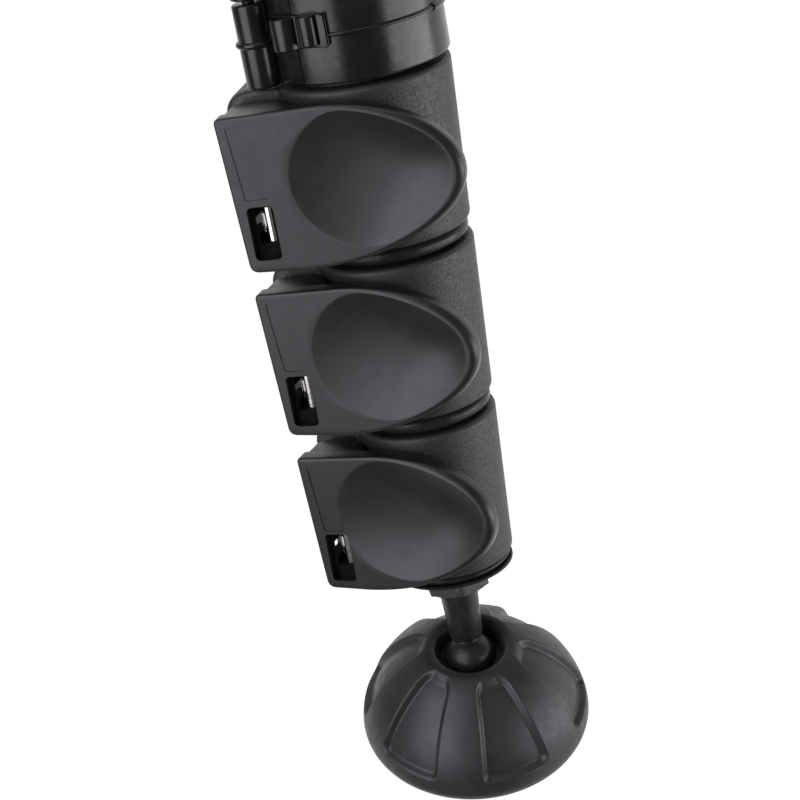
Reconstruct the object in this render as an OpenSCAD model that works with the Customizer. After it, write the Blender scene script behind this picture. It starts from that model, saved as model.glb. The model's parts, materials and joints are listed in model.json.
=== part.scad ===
// Camera monopod closed to its shortest: four nested leg tubes with flip-lever clamps,
// a camera platform on top and a domed rubber foot that rocks on a ball.
// The leg runs down -Z from the top of the platform, and the levers face -Y.

/* [Tubes] */
// Outside diameter of the upper tube
upper_tube_d = 36; // [33:0.5:40]
// Drop in outside diameter from one tube to the next
tube_step = 3.7; // [3.4:0.1:4.2]
// Wall of every tube
tube_wall = 1.2; // [0.9:0.05:1.3]
// Upper tube between the top cap and the first lock
upper_tube_run = 329; // [260:1:400]
// How much lower each inner tube starts than the one around it
tube_stagger = 5; // [3:0.5:12]
// Length of the plastic guide round the top of each inner tube
guide_len = 12; // [8:1:20]

/* [Locks] */
// Height of each clamp body
lock_h = 41.6; // [40:0.2:48]
// Space between two clamp bodies when the leg is closed
lock_gap = 4.35; // [3.5:0.05:8]
// Clamp body's wall outside the tube that it holds
lock_wall = 4; // [3.5:0.1:5]
// Rounding of the clamp body's rims
rim_round = 1.4; // [0.6:0.1:2]
// Depth of the seat for the upper of the two tubes
tube_seat = 19; // [14:0.5:20]
// Wall of the split sleeve that grips the lower tube
sleeve_wall = 1.2; // [0.9:0.05:1.4]
// Width of the saw cut that lets the body close
slit_w = 1.5; // [1:0.1:2.5]
// How far the clamp ears reach past the body
ear_reach = 11.7; // [10:0.1:14]
// Rounding of the ears' outer corners
ear_round = 6; // [3:0.5:8]
// Back face of the ears behind the leg's centre plane
ear_back = 12; // [10:0.5:14]
// Turn of the first clamp round the leg
turn_1 = 5; // [-15:0.5:15]
// Turn of the second clamp round the leg
turn_2 = -1; // [-15:0.5:15]
// Turn of the third clamp round the leg
turn_3 = -5.5; // [-15:0.5:15]

/* [Levers] */
// Length of the first lever
lever_len = 58.2; // [54:0.2:62]
// How much shorter each next lever is
lever_len_step = 3.5; // [3:0.1:5]
// Height of the first lever
lever_h = 40; // [38:0.2:41]
// How much lower each next lever is
lever_h_step = 0.8; // [0:0.1:1.5]
// Thickness of the lever's plate
lever_t = 4.6; // [4:0.1:5]
// Gap between a lever's plate and the widest part of its clamp body
lever_gap = 0.5; // [0.4:0.1:1.2]
// Distance of each lever's pin outside the tube that its clamp sits on
pin_out = 5.1; // [4.5:0.1:6]
// Diameter of the lever pins
pin_d = 3.4; // [2.6:0.1:3.6]
// Part of a lever behind its pin
heel_len = 8.1; // [7:0.1:8.6]
// Width of the window that shows the pin
window_w = 6.2; // [5.8:0.1:7]
// Height of the window
window_h = 14; // [12:0.5:15]
// Depth of the window
window_deep = 3; // [2.4:0.1:3.2]
// Height of the slot in the window, where the pin is bare
slot_h = 9; // [7.5:0.5:10]
// Middle of the clamp bolt below the top of the clamp body
bolt_drop = 30.2; // [28:0.2:31]
// Diameter of the thumb dish
dish_d = 34; // [26:0.5:36]
// Depth of the thumb dish
dish_deep = 1.8; // [1:0.1:2.4]

/* [Clamp bolts] */
// Diameter of the clamp bolts
bolt_d = 4; // [3:0.5:4.5]
// Height of the bolt's eye along the pin
eye_h = 5; // [4:0.5:7]

/* [Camera platform] */
// Diameter of the platform
platform_d = 60; // [50:1:70]
// Thickness of the platform's disc
platform_t = 7; // [6:0.5:10]
// Depth of the recess for the pad
pad_t = 1.2; // [0.8:0.1:2]
// Diameter of the platform's hub
hub_d = 30; // [26:1:32]
// Diameter of the camera thread
stud_d = 9.525; // [6.35:0.005:9.525]
// Length of the camera thread above the platform
stud_len = 9.5; // [6:0.5:12]

/* [Grip] */
// Thickness of the foam grip
foam_t = 5.5; // [4:0.5:8]
// Length of the foam grip
foam_len = 150; // [100:5:180]
// Height of the rings at the grip's ends
ring_h = 6; // [4:0.5:10]

/* [Clip collar] */
// Height of the collar
collar_h = 37; // [30:1:45]
// Wall of the collar
collar_wall = 4; // [3:0.1:5]
// Space between the collar and the first lock
collar_gap = 1.5; // [0.8:0.1:4]
// Diameter of the upright barrel
barrel_d = 8.4; // [7:0.2:9]

/* [Foot] */
// Thickness of the end plug's flange
flange_t = 2; // [1.5:0.1:3]
// Diameter of the ball
ball_d = 14; // [13:0.25:15]
// Distance of the ball's centre below the end plug's flange
ball_drop = 28; // [26:0.5:34]
// Wall of the plastic liner round the ball
liner_wall = 1.5; // [1.2:0.1:2]
// Diameter of the rubber foot
foot_d = 62.4; // [56:0.2:70]
// Height of the ball's centre above the sole
foot_h = 22.8; // [21:0.2:26]
// Height of the dome's rim above the ball's centre
crown_h = 4.8; // [4.4:0.1:6]
// Diameter of the dome's rim
crown_d = 23.4; // [22.8:0.2:26]
// Depth of the panels round the dome
panel_deep = 1.4; // [0.8:0.1:1.6]
// Number of panels round the dome
panel_count = 6; // [5:1:8]
// Lean of the foot on its ball
foot_tilt = 18.8; // [0:0.2:20]
// Direction of that lean, turned from -Y towards +X
foot_dir = 31; // [0:1:90]

/* [Hidden] */
$fn = 64;

// clearances
run_fit = 0.06;
press_fit = 0.01;
bolt_fit = 0.2;
air = 0.3;
over = 1;

// heights along the leg
hub_h = 7;
neck_h = 6;
cap_flange_h = 4;
cap_plug_h = 20;
cap_lip = 0.8;
cap_seat_z = -platform_t - hub_h;
cap_flange_z = cap_seat_z - neck_h;
tube_top_z = cap_flange_z - cap_flange_h;
first_lock_z = tube_top_z - upper_tube_run;
guide_room = 3;

// sizes of the tubes, counted from 0 at the top
function tube_r(i) = (upper_tube_d - i * tube_step) / 2;
function lock_z(i) = first_lock_z - i * (lock_h + lock_gap);
function lock_top_r(i) = tube_r(i) + lock_wall;
function lock_end_r(i) = tube_r(i + 1) + lock_wall;
function lock_mid_r(i) = (lock_top_r(i) + lock_end_r(i)) / 2;
function sleeve_r(i) = tube_r(i + 1) + sleeve_wall;
function tube_start(i) =
  i == 0 ? tube_top_z : tube_top_z - cap_plug_h - guide_room - i * tube_stagger;
function tube_end(i) = i < 3 ? lock_z(i) - tube_seat : flange_z;

// end of the leg
end_ring_h = lock_gap - 2 * air;
last_ring_h = 1.7;
flange_z = lock_z(2) - lock_h - last_ring_h - air;
flange_in = 0.4;
flange_edge = 0.3;
flange_rim = 0.8;
flange_low_r = 10;
flange_r = tube_r(3) + lock_wall - flange_in;
ball_z = flange_z - flange_t - ball_drop;
ball_r = ball_d / 2;
nut_neck_h = 2.1;
nut_neck_r = 6.2;
nut_hex_h = 3.5;
nut_flats = 15.8;
nut_turn = -4;
rod_r = 4;
rod_up = 22;
plug_web = 4;
stem_top_r = 5.2;
stem_end_r = 4.2;
plug_h = rod_up + plug_web;

// places on the levers
lever_low = 1;
lever_mid = lock_h / 2 + lever_low;
lock_turns = [turn_1, turn_2, turn_3];
cam_land = 0.1;
cam_r = sqrt(pow(heel_len, 2) + pow(lever_t, 2)) + cam_land;
bar_gap = window_w / 2;
ear_room = 0.4;
top_bow = 0.585;
low_bow = 0.73;
tip_share = 0.48;
heel_slant = 1.7;
heel_fall = 0.5;
window_side = 1.2;
window_low = 1.2;
dish_edge = 2.4;
pin_inset = 0.8;
function lever_face_y(i) = -(lock_top_r(i) + lever_gap + lever_t);
function pin_y(i) = lever_face_y(i) + lever_t;
function ear_front_y(i) = pin_y(i) + cam_r + ear_room;
function pin_x(i) = tube_r(i) + pin_out;
function heel_r(i) = min(cam_r, norm([pin_x(i), pin_y(i)]) - lock_top_r(i) - ear_room);
function lever_run(i) = lever_len - i * lever_len_step;
function lever_tall(i) = lever_h - i * lever_h_step;
function lever_drop(i) = lever_mid - lever_tall(i) / 2;
function lever_tip_x(i) = lever_run(i) - pin_x(i) - heel_len;
eye_room = 0.5;
eye_r = window_w / 2 - eye_room;
swing_room = 0.3;
swing_r = bolt_d / 2 + swing_room;
washer_r = 4.5;
washer_t = 0.8;
nut_r = 4.04;
nut_t = 3.2;
bolt_end = 1.5;

// colours
satin_black = [0.07, 0.07, 0.075];
grain_black = [0.13, 0.125, 0.12];
rubber_black = [0.10, 0.10, 0.105];
gloss_black = [0.05, 0.05, 0.052];
dark_metal = [0.16, 0.16, 0.165];
steel = [0.75, 0.75, 0.76];
nylon = [0.25, 0.25, 0.26];

// points of a round stretch from angle a to angle b
function arc(c, r, a, b, n = 8) =
  [for (k = [0:n]) let(t = a + (b - a) * k / n) [c[0] + r * cos(t), c[1] + r * sin(t)]];

// points of a quarter of an ellipse
function bow(c, rx, ry, a, b, n = 14) =
  [for (k = [0:n]) let(t = a + (b - a) * k / n) [c[0] + rx * cos(t), c[1] + ry * sin(t)]];

// ring with rounded outer corners, standing on z = 0
module round_ring(inner, outer, h, round_r) {
  r = min(round_r, h / 2 - 0.05);
  rotate_extrude()
    polygon(concat(
      [[inner, 0]],
      arc([outer - r, r], r, -90, 0),
      arc([outer - r, h - r], r, 0, 90),
      [[inner, h]]
    ));
}

module pipe(inner, outer, h) {
  difference() {
    cylinder(h = h, r = outer);
    translate([0, 0, -over])
      cylinder(h = h + 2 * over, r = inner);
  }
}

// part of a ring between two angles, standing on z = 0
module ring_piece(inner, outer, h, from, to) {
  rotate([0, 0, from])
    rotate_extrude(angle = to - from)
      translate([inner, 0])
        square([outer - inner, h]);
}

// camera platform

stud_collar_r = 6.5;
stud_collar_h = 3;
stud_foot_r = 3.175;
stud_foot_len = 8;
stud_point = 0.6;
stud_slot_w = 1.6;
stud_slot_deep = 1.5;
platform_round = 1.2;
hub_flare = 2;
pad_inner_r = 9.5;
pad_rim = 1.5;
grub_r = 2;
grub_place = 20;
grub_top = 0.5;
grub_drive_r = 1.1;
grub_drive_h = 2.5;

// double-ended thread with a slotted collar, turned over for small cameras
module camera_stud() {
  color(steel)
    difference() {
      union() {
        cylinder(h = stud_len - stud_point, r = stud_d / 2);
        translate([0, 0, stud_len - stud_point])
          cylinder(h = stud_point, r1 = stud_d / 2, r2 = stud_d / 2 - stud_point);
        translate([0, 0, -stud_collar_h])
          cylinder(h = stud_collar_h, r = stud_collar_r);
        translate([0, 0, -stud_collar_h - stud_foot_len])
          cylinder(h = stud_foot_len, r = stud_foot_r);
      }
      translate([-stud_slot_w / 2, -stud_d, stud_len - stud_slot_deep])
        cube([stud_slot_w, 2 * stud_d, stud_slot_deep + over]);
    }
}

module platform() {
  color(satin_black)
    difference() {
      union() {
        translate([0, 0, -platform_t])
          round_ring(0, platform_d / 2, platform_t, platform_round);
        translate([0, 0, -platform_t - hub_h])
          cylinder(h = hub_h, r1 = hub_d / 2, r2 = hub_d / 2 + hub_flare);
      }
      // recess for the pad
      translate([0, 0, -pad_t])
        pipe(pad_inner_r, platform_d / 2 - pad_rim, pad_t + over);
      // seat and tapped hole of the stud
      translate([0, 0, -stud_collar_h])
        cylinder(h = stud_collar_h + over, r = stud_collar_r + press_fit);
      translate([0, 0, -platform_t - hub_h - over])
        cylinder(h = platform_t + hub_h + 2 * over, r = stud_foot_r + press_fit);
      for (k = [0:2])
        rotate([0, 0, 90 + 120 * k])
          translate([grub_place, 0, -platform_t - over])
            cylinder(h = platform_t + 2 * over, r = grub_r + press_fit);
    }
}

module platform_pad() {
  color(rubber_black)
    translate([0, 0, -pad_t])
      difference() {
        pipe(pad_inner_r + press_fit, platform_d / 2 - pad_rim - press_fit, pad_t);
        for (k = [0:2])
          rotate([0, 0, 90 + 120 * k])
            translate([grub_place, 0, -over])
              cylinder(h = pad_t + 2 * over, r = grub_r + air);
      }
}

// set screws that bite into a head screwed on the platform
module platform_grub_screws() {
  color(steel)
    for (k = [0:2])
      rotate([0, 0, 90 + 120 * k])
        translate([grub_place, 0, -platform_t])
          difference() {
            cylinder(h = platform_t - grub_top, r = grub_r);
            translate([0, 0, -over])
              cylinder(h = grub_drive_h + over, r = grub_drive_r, $fn = 6);
          }
}

cap_bolt_r = 3;
cap_bolt_head_r = 5;
cap_bolt_head_h = 5;
cap_bolt_room = 1;
cap_drive_r = 2.9;
cap_drive_h = 3;
cap_web = 12;
cap_round = 1;
neck_in = 1;
bolt_head_z = cap_seat_z - cap_web;

// plug that closes the upper tube and carries the platform
module top_cap() {
  color(satin_black)
    difference() {
      union() {
        translate([0, 0, cap_flange_z])
          cylinder(h = neck_h, r1 = upper_tube_d / 2 - neck_in, r2 = hub_d / 2);
        translate([0, 0, tube_top_z])
          round_ring(0, upper_tube_d / 2 + cap_lip, cap_flange_h, cap_round);
        translate([0, 0, tube_top_z - cap_plug_h])
          cylinder(h = cap_plug_h, r = upper_tube_d / 2 - tube_wall - press_fit);
      }
      translate([0, 0, tube_top_z - cap_plug_h - over])
        cylinder(h = cap_seat_z - tube_top_z + cap_plug_h + 2 * over, r = cap_bolt_r + press_fit);
      translate([0, 0, tube_top_z - cap_plug_h - over])
        cylinder(h = bolt_head_z - tube_top_z + cap_plug_h + over, r = cap_bolt_head_r + cap_bolt_room);
    }
}

// socket bolt that draws the platform down on the cap
module cap_bolt() {
  color(steel)
    difference() {
      union() {
        translate([0, 0, bolt_head_z - cap_bolt_head_h])
          cylinder(h = cap_bolt_head_h, r = cap_bolt_head_r);
        translate([0, 0, bolt_head_z])
          cylinder(h = -stud_collar_h - stud_foot_len - air - bolt_head_z, r = cap_bolt_r);
      }
      translate([0, 0, bolt_head_z - cap_bolt_head_h - over])
        cylinder(h = cap_drive_h + over, r = cap_drive_r, $fn = 6);
    }
}

// tubes

module tube(i) {
  color(satin_black)
    translate([0, 0, tube_end(i)])
      pipe(tube_r(i) - tube_wall, tube_r(i), tube_start(i) - tube_end(i));
}

// sleeve that keeps the top of an inner tube straight in the tube around it
module tube_guide(i) {
  color(nylon)
    translate([0, 0, tube_start(i) - guide_len])
      pipe(tube_r(i) + press_fit, tube_r(i - 1) - tube_wall - run_fit, guide_len);
}

// grip

grip_drop = 6;
ring_lip = 0.6;
grip_round = 1.5;

module grip_rings() {
  color(satin_black)
    for (z = [tube_top_z - grip_drop - ring_h, tube_top_z - grip_drop - 2 * ring_h - foam_len])
      translate([0, 0, z])
        round_ring(upper_tube_d / 2 + press_fit, upper_tube_d / 2 + foam_t + ring_lip, ring_h, grip_round);
}

module foam_grip() {
  color(rubber_black)
    translate([0, 0, tube_top_z - grip_drop - ring_h - foam_len])
      round_ring(upper_tube_d / 2 + press_fit, upper_tube_d / 2 + foam_t, foam_len, grip_round);
}

// clip collar, in two shells that snap together round the upper tube

collar_r = upper_tube_d / 2 + collar_wall + air;
collar_z = first_lock_z + collar_gap;
seam_angle = -110;
barrel_angle = -139;
barrel_out = 2.9;
barrel_place = collar_r + barrel_out;
barrel_root = 1;
collar_pin_r = 1.5;
bead_r = 1;
barrel_bead_r = 0.8;
bead_in = 11.8;
bead_places = [bead_in, collar_h - bead_in];
barrel_bead_in = 10.7;
knuckle_gap = 1;
knuckle_share = 0.55;
knuckle_low_h = knuckle_share * collar_h;
knuckle_top_h = collar_h - knuckle_low_h - knuckle_gap;
hook_back = 13;
hook_lap = 23;
hook_t = 3.4;
hook_h = 8;
hook_z = 9.2;
hook_root = 1;
seam_gap = 0.4;
hook_seam = 2;
hook_from = seam_angle - hook_back;
hook_to = seam_angle + hook_lap;

// half shell with its two beads
module collar_shell(from, to) {
  translate([0, 0, collar_z]) {
    ring_piece(upper_tube_d / 2 + press_fit, collar_r, collar_h, from, to);
    for (z = bead_places)
      translate([0, 0, z])
        rotate([0, 0, from])
          rotate_extrude(angle = to - from)
            translate([collar_r, 0])
              circle(r = bead_r, $fn = 24);
  }
}

module collar_front_shell() {
  color(gloss_black)
    collar_shell(seam_angle + seam_gap, seam_angle + 180 - seam_gap);
}

module collar_rear_shell() {
  color(gloss_black)
    difference() {
      union() {
        collar_shell(seam_angle + 180, seam_angle + 360);
        rotate([0, 0, barrel_angle])
          translate([barrel_place, 0, collar_z]) {
            for (k = [[0, knuckle_low_h], [collar_h - knuckle_top_h, knuckle_top_h]])
              translate([0, 0, k[0]]) {
                cylinder(h = k[1], r = barrel_d / 2);
                translate([-barrel_d / 2 - barrel_root, -barrel_d / 4, 0])
                  cube([barrel_d / 2 + barrel_root, barrel_d / 2, k[1]]);
              }
            for (z = [barrel_bead_in, collar_h - barrel_bead_in])
              translate([0, 0, z])
                rotate_extrude()
                  translate([barrel_d / 2, 0])
                    circle(r = barrel_bead_r, $fn = 24);
          }
        // snap hook that laps over the front shell
        translate([0, 0, collar_z + hook_z])
          ring_piece(collar_r + air, collar_r + hook_t, hook_h, hook_from, hook_to);
        translate([0, 0, collar_z + hook_z])
          ring_piece(collar_r - hook_root, collar_r + hook_t, hook_h, hook_from, seam_angle - hook_seam);
      }
      rotate([0, 0, barrel_angle])
        translate([barrel_place, 0, collar_z - over])
          cylinder(h = collar_h + 2 * over, r = collar_pin_r + press_fit);
      // notch in the hook where it crosses the front shell's bead
      translate([0, 0, collar_z + bead_places[0] - bead_r - air])
        ring_piece(
          collar_r - press_fit, collar_r + bead_r + air,
          2 * (bead_r + air), seam_angle, hook_to + hook_seam
        );
    }
}

// pin through the barrel, bare between its two knuckles
module collar_pin() {
  color(steel)
    rotate([0, 0, barrel_angle])
      translate([barrel_place, 0, collar_z + air])
        cylinder(h = collar_h - 2 * air, r = collar_pin_r);
}

// locks

slit_stop = 1;
ring_in = 0.9;
ring_round = 1.6;

// frame of a clamp: origin on the leg's axis at the body's top, turned with the clamp
module at_lock(i) {
  translate([0, 0, lock_z(i)])
    rotate([0, 0, lock_turns[i]])
      children();
}

// side of a clamp ear with its outer corners rounded
module ear_side(reach) {
  translate([-reach, -lock_h + ear_round])
    square([reach, lock_h - 2 * ear_round]);
  translate([-reach + ear_round, -lock_h])
    square([reach - ear_round, lock_h]);
  for (z = [-ear_round, -lock_h + ear_round])
    translate([-reach + ear_round, z])
      circle(r = ear_round);
}

// clamp body that narrows from the upper tube to the lower one
module lock_body(i) {
  r1 = lock_top_r(i);
  r2 = lock_end_r(i);
  reach = lock_mid_r(i) + ear_reach;
  color(grain_black)
    at_lock(i)
      difference() {
        union() {
          rotate_extrude()
            polygon(concat(
              [[0, -lock_h]],
              arc([r2 - rim_round, -lock_h + rim_round], rim_round, -90, 0),
              arc([r1 - rim_round, -rim_round], rim_round, 0, 90),
              [[0, 0]]
            ));
          translate([0, ear_back, 0])
            rotate([90, 0, 0])
              linear_extrude(height = ear_back - ear_front_y(i))
                ear_side(reach);
        }
        translate([0, 0, -tube_seat])
          cylinder(h = tube_seat + over, r = tube_r(i) + press_fit);
        translate([0, 0, -lock_h - over])
          cylinder(h = lock_h + 2 * over, r = sleeve_r(i) + press_fit);
        // saw cut through the lower half
        translate([-reach - over, -slit_w / 2, -lock_h - over])
          cube([reach + over, slit_w, lock_h - tube_seat - slit_stop + over]);
        // hole for the clamp bolt
        translate([-pin_x(i), ear_front_y(i) - over, -bolt_drop])
          rotate([-90, 0, 0])
            cylinder(h = ear_back - ear_front_y(i) + 2 * over, r = bolt_d / 2 + bolt_fit);
      }
}

// outline of a lever, with its top edge at z = 0
function lever_outline(i) =
  let(left = -pin_x(i) - heel_len, tip = lever_tip_x(i), run = lever_run(i), tall = lever_tall(i),
      up = tip_share * tall)
  concat(
    [[left, -heel_fall]],
    bow([tip - top_bow * run, -up], top_bow * run, up, 90, 0),
    bow([tip - low_bow * run, -up], low_bow * run, tall - up, 0, -90),
    [[left + heel_slant, -tall + heel_fall]]
  );

// lever with a cam heel, a window over the pin and a thumb dish
module lock_lever(i) {
  face = lever_face_y(i);
  tall = lever_tall(i);
  low_z = -lever_drop(i) - tall;
  window_z = -bolt_drop - window_low - window_h / 2;
  dish_r = (pow(dish_d / 2, 2) + pow(dish_deep, 2)) / (2 * dish_deep);
  color(satin_black)
    at_lock(i)
      difference() {
        union() {
          translate([0, pin_y(i), -lever_drop(i)])
            rotate([90, 0, 0])
              linear_extrude(height = lever_t)
                polygon(lever_outline(i));
          intersection() {
            translate([-pin_x(i), pin_y(i), low_z + heel_fall])
              cylinder(h = tall - 2 * heel_fall, r = heel_r(i));
            translate([-pin_x(i) - heel_len + heel_slant, face, low_z])
              cube([2 * cam_r + heel_len, lever_t + cam_r + over, tall]);
          }
        }
        // window in the face
        translate([-pin_x(i) - window_side - window_w / 2, face - over, window_z])
          cube([window_w, window_deep + over, window_h]);
        // room for the bolt's eye, and the passage that its shank swings in
        translate([-pin_x(i) - window_side - window_w / 2, pin_y(i) - bar_gap, -bolt_drop - slot_h / 2])
          cube([window_side + window_w, 2 * bar_gap, slot_h]);
        translate([-pin_x(i) - cam_r - over, pin_y(i) - swing_r, -bolt_drop - swing_r])
          cube([cam_r + over + swing_r, swing_r + cam_r + over, 2 * swing_r]);
        translate([-pin_x(i), pin_y(i), low_z - over])
          cylinder(h = tall + 2 * over, r = pin_d / 2 + run_fit);
        translate([lever_tip_x(i) - dish_d / 2 - dish_edge, face + dish_deep - dish_r, -lever_mid])
          sphere(r = dish_r, $fn = 128);
      }
}

module lock_pin(i) {
  color(steel)
    at_lock(i)
      translate([-pin_x(i), pin_y(i), -lever_drop(i) - lever_tall(i) + pin_inset])
        cylinder(h = lever_tall(i) - 2 * pin_inset, r = pin_d / 2);
}

// eye bolt that hangs on the lever's pin and draws the two ears together
module lock_bolt(i) {
  reach = ear_back + washer_t + nut_t + bolt_end - pin_y(i);
  color(steel)
    at_lock(i)
      translate([-pin_x(i), pin_y(i), -bolt_drop])
        difference() {
          union() {
            translate([0, 0, -eye_h / 2])
              cylinder(h = eye_h, r = eye_r);
            rotate([-90, 0, 0])
              cylinder(h = reach, r = bolt_d / 2);
          }
          translate([0, 0, -eye_h / 2 - over])
            cylinder(h = eye_h + 2 * over, r = pin_d / 2 + press_fit);
        }
}

module lock_washer(i) {
  color(steel)
    at_lock(i)
      translate([-pin_x(i), ear_back, -bolt_drop])
        rotate([-90, 0, 0])
          pipe(bolt_d / 2 + press_fit, washer_r, washer_t);
}

module lock_nut(i) {
  color(steel)
    at_lock(i)
      translate([-pin_x(i), ear_back + washer_t, -bolt_drop])
        rotate([-90, 0, 0])
          difference() {
            cylinder(h = nut_t, r = nut_r, $fn = 6);
            translate([0, 0, -over])
              cylinder(h = nut_t + 2 * over, r = bolt_d / 2 + press_fit);
          }
}

// split sleeve between the clamp body and the tube that slides through it
module lock_sleeve(i) {
  h = lock_h - tube_seat - 2 * air;
  color(nylon)
    at_lock(i)
      translate([0, 0, air - lock_h])
        difference() {
          pipe(tube_r(i + 1) + run_fit, sleeve_r(i), h);
          translate([-sleeve_r(i) - over, -slit_w / 2, -over])
            cube([sleeve_r(i) + over, slit_w, h + 2 * over]);
        }
}

// smooth ring under the clamp body that takes the knock when the leg closes
module lock_end_ring(i) {
  h = i < 2 ? end_ring_h : last_ring_h;
  color(gloss_black)
    translate([0, 0, lock_z(i) - lock_h - h])
      round_ring(tube_r(i + 1) + air, lock_end_r(i) - ring_in, h, ring_round);
}

// foot

// plug in the lowest tube, with the flange that the tube stands on
module foot_plug() {
  color(satin_black)
    difference() {
      union() {
        translate([0, 0, flange_z])
          rotate_extrude()
            polygon([
              [0, 0], [flange_r - flange_edge, 0], [flange_r, -flange_edge], [flange_r, -flange_rim],
              [flange_low_r, -flange_t], [0, -flange_t]
            ]);
        translate([0, 0, flange_z])
          cylinder(h = plug_h, r = tube_r(3) - tube_wall - press_fit);
      }
      translate([0, 0, flange_z - flange_t - over])
        cylinder(h = rod_up + flange_t + over, r = rod_r + press_fit);
    }
}

module foot_nut() {
  color(dark_metal)
    translate([0, 0, flange_z - flange_t])
      difference() {
        union() {
          translate([0, 0, -nut_neck_h])
            cylinder(h = nut_neck_h, r = nut_neck_r);
          translate([0, 0, -nut_neck_h - nut_hex_h])
            rotate([0, 0, nut_turn])
              cylinder(h = nut_hex_h, r = nut_flats / 2 / cos(30), $fn = 6);
        }
        translate([0, 0, -nut_neck_h - nut_hex_h - over])
          cylinder(h = nut_neck_h + nut_hex_h + 2 * over, r = rod_r + press_fit);
      }
}

// threaded stem that narrows to the ball
module foot_stem() {
  shoulder_z = flange_z - flange_t - nut_neck_h - nut_hex_h;
  neck_z = ball_z + sqrt(pow(ball_r, 2) - pow(stem_end_r, 2));
  color(dark_metal) {
    translate([0, 0, shoulder_z])
      cylinder(h = flange_z + rod_up - air - shoulder_z, r = rod_r);
    translate([0, 0, neck_z])
      cylinder(h = shoulder_z - neck_z, r1 = stem_end_r, r2 = stem_top_r);
    translate([0, 0, ball_z])
      cylinder(h = neck_z - ball_z, r = stem_end_r);
    translate([0, 0, ball_z])
      sphere(r = ball_r);
  }
}

// frame of the foot: origin at the ball's centre, sole square to -Z
module at_foot() {
  translate([0, 0, ball_z])
    rotate([0, 0, foot_dir])
      rotate([foot_tilt, 0, 0])
        children();
}

liner_r = ball_r + run_fit + liner_wall;
liner_top = 0.8;
cup_wall = 2.2;
cup_r = liner_r + run_fit + cup_wall;
cup_base_r = 19;
cup_base_t = 3;
cup_floor = 1.5;
cup_base_z = -liner_r - run_fit - cup_floor;
cup_top = -1;
ring_top = 1.5;
mouth_r = sqrt(pow(liner_r + run_fit + air, 2) - pow(ring_top + air, 2));
sole_edge = 2.1;
sole_round = 1;
crown_lip = 1.2;
crown_sink = 0.4;
dome_out = 1.43;
dome_up = 1.19;
panel_angle = 34;
panel_turn = 4.5;
panel_low = 6.5;
panel_high = 0.6;
panel_lean = 0.6;

// plastic seat that grips the ball, a round shell cut open above its middle
module ball_liner() {
  color(nylon)
    at_foot()
      difference() {
        sphere(r = liner_r);
        sphere(r = ball_r + run_fit);
        translate([0, 0, liner_top])
          cylinder(h = liner_r, r = liner_r + over);
      }
}

module socket_cup() {
  color(dark_metal)
    at_foot()
      difference() {
        union() {
          translate([0, 0, cup_base_z])
            cylinder(h = cup_top - cup_base_z, r = cup_r);
          translate([0, 0, cup_base_z])
            cylinder(h = cup_base_t, r = cup_base_r);
        }
        sphere(r = liner_r + run_fit);
      }
}

// ring on the cup that keeps the liner in
module socket_ring() {
  color(dark_metal)
    at_foot()
      difference() {
        translate([0, 0, cup_top])
          cylinder(h = ring_top - cup_top, r = cup_r);
        sphere(r = liner_r + run_fit);
      }
}

// side of the dome from the sole's edge to the rim, pulled in by a depth
function dome_side(in) =
  let(base = foot_d / 2, rim = crown_d / 2, h = foot_h + crown_h - sole_edge)
  [for (k = [0:10]) let(t = 90 * k / 10, out = pow(cos(t), dome_out), up = pow(sin(t), dome_up))
    [rim + (base - rim) * out - in, -foot_h + sole_edge + h * up - in * panel_lean]];

module rubber_foot() {
  color(rubber_black)
    at_foot()
      difference() {
        rotate_extrude()
          polygon(concat(
            [[0, -foot_h], [foot_d / 2 - sole_round, -foot_h]],
            dome_side(0),
            [[crown_d / 2 - crown_lip, crown_h - crown_sink], [mouth_r, ring_top + air], [0, ring_top + air]]
          ));
        // room for the cup and its ring
        translate([0, 0, cup_base_z - run_fit])
          cylinder(h = cup_base_t + 2 * run_fit, r = cup_base_r + run_fit);
        translate([0, 0, cup_base_z])
          cylinder(h = ring_top + air - cup_base_z, r = cup_r + run_fit);
        // panels pressed into the dome
        for (k = [0:panel_count - 1])
          rotate([0, 0, panel_turn - 90 - panel_angle / 2 + k * 360 / panel_count])
            rotate_extrude(angle = panel_angle)
              difference() {
                polygon(concat(
                  [for (p = dome_side(-over))
                    if (p[1] > -foot_h + panel_low && p[1] < crown_h - panel_high) p],
                  [[crown_d / 2, 0]]
                ));
                polygon(concat(dome_side(panel_deep), [[0, crown_h - panel_deep], [0, -foot_h]]));
              }
      }
}

camera_stud();
platform();
platform_pad();
platform_grub_screws();
top_cap();
cap_bolt();
tube(0);  // upper_tube
grip_rings();
foam_grip();
collar_front_shell();
collar_rear_shell();
collar_pin();
for (i = [0:2]) {
  lock = str("lock_", i + 1);
  tube_name = str("tube_", i + 2);
  lock_body(i);
  lock_lever(i);
  lock_pin(i);
  lock_bolt(i);
  lock_washer(i);
  lock_nut(i);
  lock_sleeve(i);
  lock_end_ring(i);
  tube(i + 1);
  tube_guide(i + 1);
}
foot_plug();
foot_nut();
foot_stem();
ball_liner();
socket_cup();
socket_ring();
rubber_foot();
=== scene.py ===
import json
import math

import bmesh
import bpy
from mathutils import Matrix, Vector


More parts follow.
